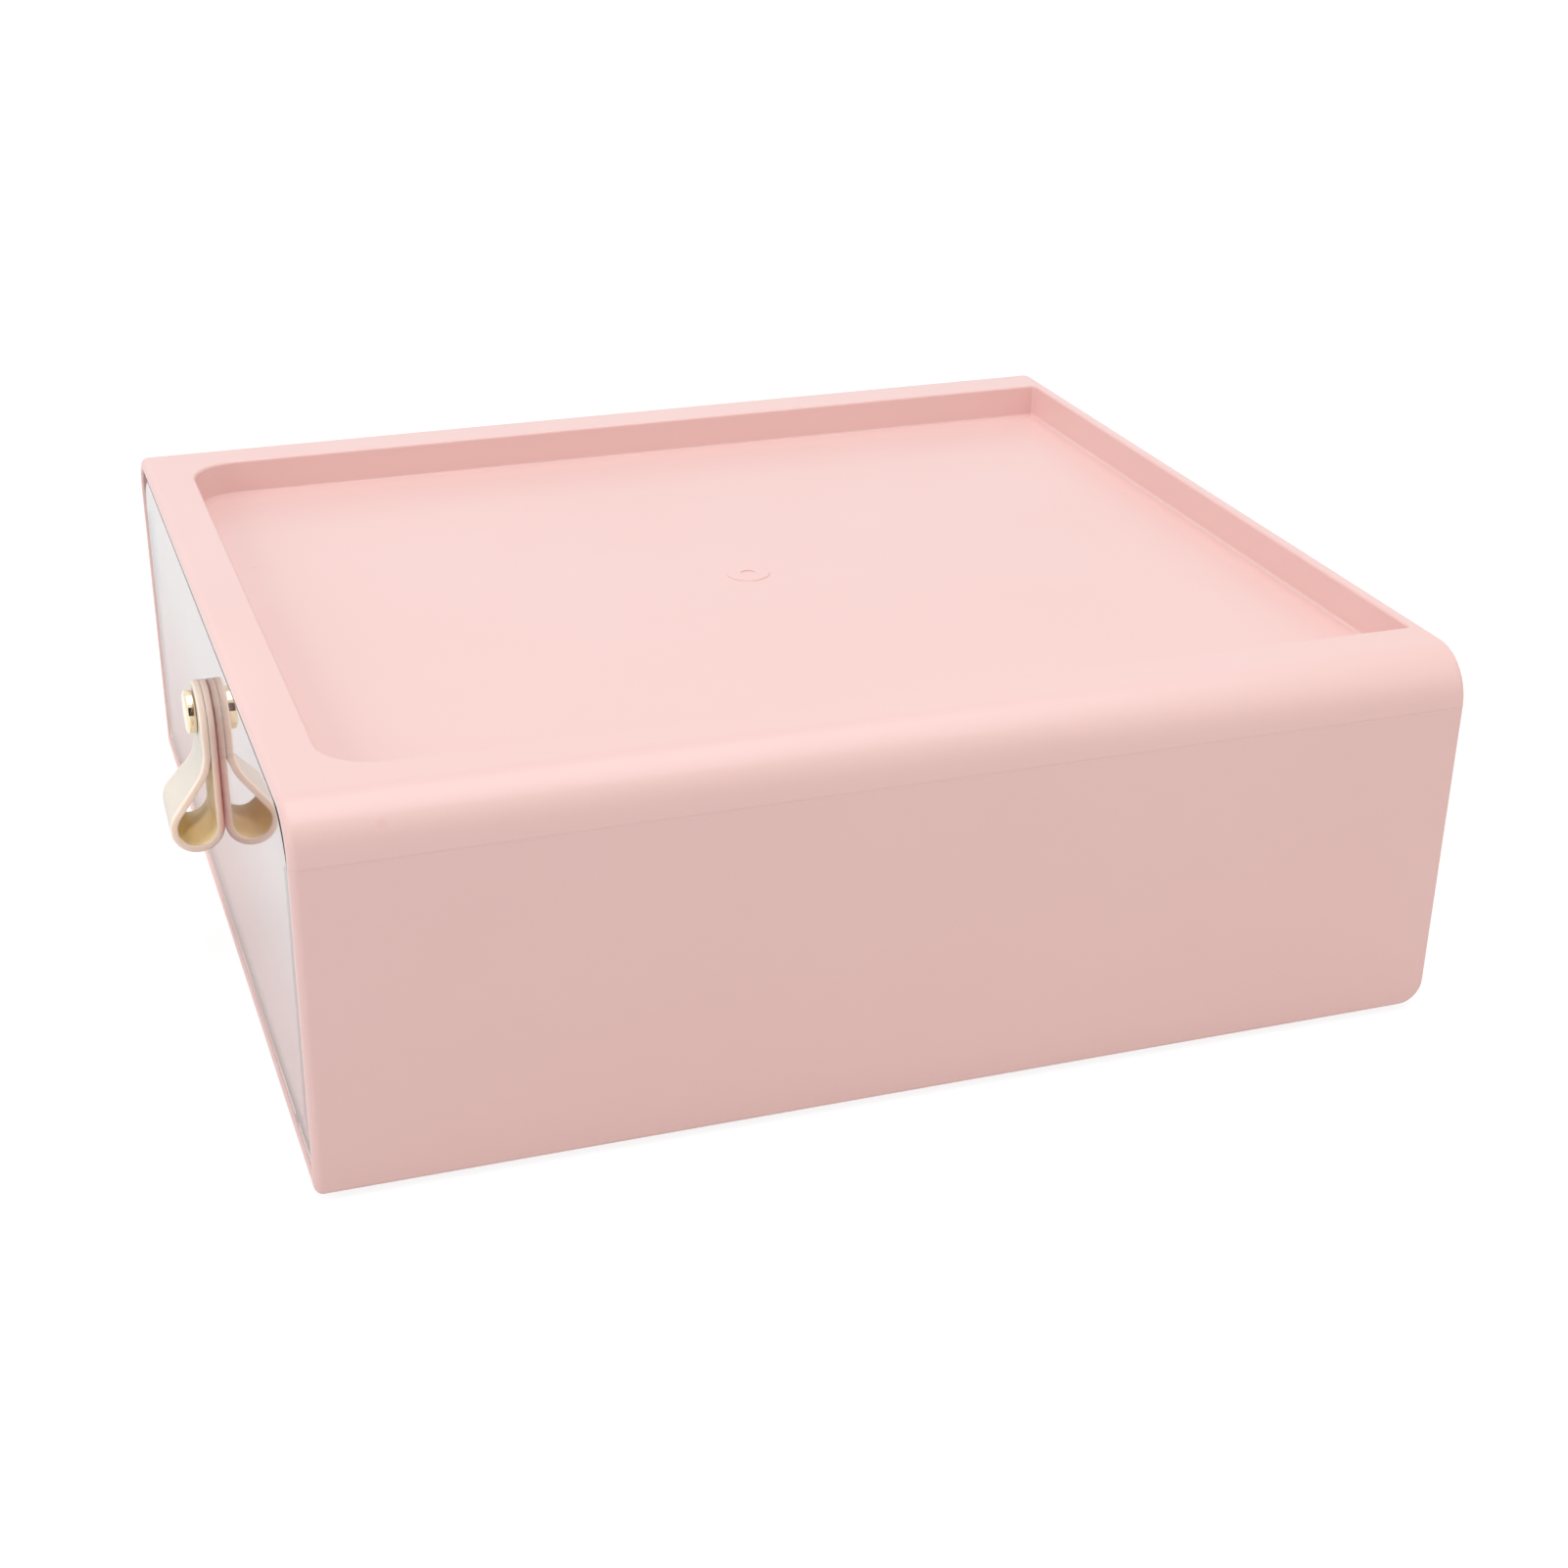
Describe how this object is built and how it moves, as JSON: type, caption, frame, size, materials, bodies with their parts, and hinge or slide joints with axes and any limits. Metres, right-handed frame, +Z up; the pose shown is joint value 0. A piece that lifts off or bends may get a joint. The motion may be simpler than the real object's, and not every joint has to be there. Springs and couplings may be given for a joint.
{
  "type": "drawer storage box",
  "caption": "Desktop storage box: a moulded pink case with a shallow tray in its top and a clear drawer that slides out on a folded strap handle.",
  "frame": {"origin": "on the table, under the middle of the case", "axes": "+X to the right as seen from the front, +Y from the drawer's front towards the rear, +Z up"},
  "size_m": [0.24, 0.2673, 0.0872],
  "materials": {
    "case_plastic": "satin moulded polystyrene, pale pink",
    "clear_plastic": "clear, glossy moulded polystyrene",
    "strap_leather": "smooth off-white coated strap with a tan cut edge",
    "stud_metal": "polished pale gold plating",
    "steel": "zinc-plated steel",
    "foot_rubber": "matte soft pad"
  },
  "bodies": {
    "case": {"case_shell": "case_plastic", "foot_front_left": "foot_rubber", "foot_front_right": "foot_rubber", "foot_rear_left": "foot_rubber", "foot_rear_right": "foot_rubber"},
    "drawer": {"drawer": "clear_plastic", "handle_stud": "stud_metal", "handle_washer": "steel", "handle_screw": "steel"},
    "strap": {"handle_strap": "strap_leather"}
  },
  "joints": [
    {"name": "drawer_slide", "type": "slide", "parent": "case", "child": "drawer", "axis": [0, -1, 0], "range_m": [0, 0.2]},
    {"name": "strap_swivel", "type": "hinge", "parent": "drawer", "child": "strap", "pos_m": [0, -0.1289, 0.0602], "axis": [0, -1, 0], "range_deg": [-90, 90]}
  ]
}
